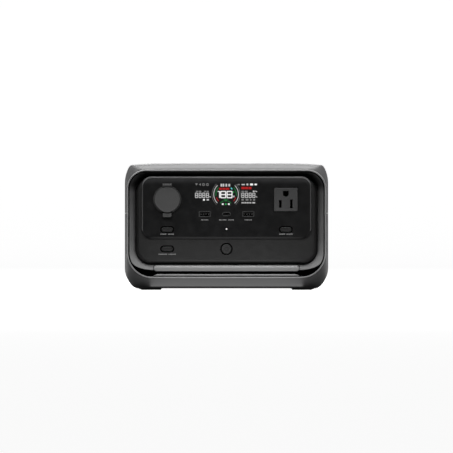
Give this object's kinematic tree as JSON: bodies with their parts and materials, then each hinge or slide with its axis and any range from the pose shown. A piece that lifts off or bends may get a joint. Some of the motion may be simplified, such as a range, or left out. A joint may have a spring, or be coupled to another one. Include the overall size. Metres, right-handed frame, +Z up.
{
  "type": "power station",
  "caption": "Portable power station: a boxy dark grey case with a recessed panel of sockets, buttons and a display, a light bar below, and a loop handle behind.",
  "frame": {"origin": "on the ground under the middle of the object's box, with the feet standing on z = 0", "axes": "+X to the right as the front is seen, -Y out of the front panel, +Z up"},
  "size_m": [0.234, 0.232, 0.146],
  "materials": {
    "case_shell": "fine-textured dark grey moulded plastic",
    "bezel_band": "satin grey moulded plastic",
    "panel_grey": "fine-textured charcoal plastic",
    "socket_black": "smoked black plastic, satin gloss",
    "button_plastic": "matte charcoal plastic",
    "socket_plastic": "matte dark grey plastic",
    "soft_rubber": "matte dark grey rubber",
    "light_diffuser": "translucent milky diffuser",
    "amber_plastic": "moulded amber connector plastic",
    "circuit_board": "green lacquered board",
    "contact_metal": "plated contact metal",
    "steel": "stamped nickel-plated steel",
    "cell_case": "blue wrapped prismatic cell",
    "heat_sink_metal": "extruded aluminium",
    "display_glass": "dark display glass"
  },
  "bodies": {
    "case": {"ac_inlet": "socket_plastic", "ac_outlet_face": "socket_plastic", "battery_cell_1": "cell_case", "battery_cell_2": "cell_case", "battery_cell_3": "cell_case", "battery_cell_4": "cell_case", "battery_tray": "socket_plastic", "bms_board": "circuit_board", "button_board": "circuit_board", "cap_hinge_pin": "steel", "car_socket_contact": "contact_metal", "car_socket_housing": "socket_plastic", "case_screw_1": "steel", "case_screw_2": "steel", "case_screw_3": "steel", "case_screw_4": "steel", "cover_hinge_pin": "steel", "display_board": "circuit_board", "display_glass": "display_glass", "fan_frame": "panel_grey", "foot_front_left": "soft_rubber", "foot_front_right": "soft_rubber", "foot_rear_left": "soft_rubber", "foot_rear_right": "soft_rubber", "front_bezel": "bezel_band", "front_panel": "panel_grey", "handle_grip": "soft_rubber", "heat_sink": "heat_sink_metal", "inlet_pin_earth": "contact_metal", "inlet_pin_line": "contact_metal", "inlet_pin_neutral": "contact_metal", "inverter_board": "circuit_board", "light_board": "circuit_board", "light_lens": "light_diffuser", "lower_shell": "case_shell", "outlet_ground_contact": "contact_metal", "outlet_line_contact": "contact_metal", "outlet_neutral_contact": "contact_metal", "output_board": "circuit_board", "rear_handle": "case_shell", "rear_panel": "panel_grey", "side_grille_left": "panel_grey", "side_grille_right": "panel_grey", "socket_panel": "socket_black", "solar_inlet": "amber_plastic", "status_light_pipe": "light_diffuser", "upper_shell": "case_shell", "usb_a_shell_left": "steel", "usb_a_shell_right": "steel", "usb_a_tongue_left": "light_diffuser", "usb_a_tongue_right": "light_diffuser", "usb_c_shell": "steel", "usb_c_tongue": "socket_black"},
    "dc_button": {"dc_button": "button_plastic"},
    "ac_button": {"ac_button": "button_plastic"},
    "light_button": {"light_button": "button_plastic"},
    "power_button": {"power_button": "button_plastic"},
    "socket_cap": {"car_socket_cap": "soft_rubber"},
    "inlet_cover": {"solar_inlet_cover": "soft_rubber"},
    "fan_rotor": {"fan_rotor": "socket_plastic"}
  },
  "joints": [
    {"name": "dc_button_press", "type": "slide", "parent": "case", "child": "dc_button", "axis": [0, 1, 0], "range_m": [0, 0.0008], "stiffness_N_per_m": 800},
    {"name": "ac_button_press", "type": "slide", "parent": "case", "child": "ac_button", "axis": [0, 1, 0], "range_m": [0, 0.0008], "stiffness_N_per_m": 800},
    {"name": "light_button_press", "type": "slide", "parent": "case", "child": "light_button", "axis": [0, 1, 0], "range_m": [0, 0.0008], "stiffness_N_per_m": 800},
    {"name": "power_button_press", "type": "slide", "parent": "case", "child": "power_button", "axis": [0, 1, 0], "range_m": [0, 0.0008], "stiffness_N_per_m": 800},
    {"name": "socket_cap_hinge", "type": "hinge", "parent": "case", "child": "socket_cap", "pos_m": [-0.0682, -0.1136, 0.1207], "axis": [-1, 0, 0], "range_deg": [0, 135]},
    {"name": "inlet_cover_hinge", "type": "hinge", "parent": "case", "child": "inlet_cover", "pos_m": [0.045, 0.0764, 0.061], "axis": [1, 0, 0], "range_deg": [0, 120]},
    {"name": "fan_spin", "type": "hinge", "parent": "case", "child": "fan_rotor", "pos_m": [0.10445, 0, 0.058], "axis": [1, 0, 0], "continuous": true}
  ]
}
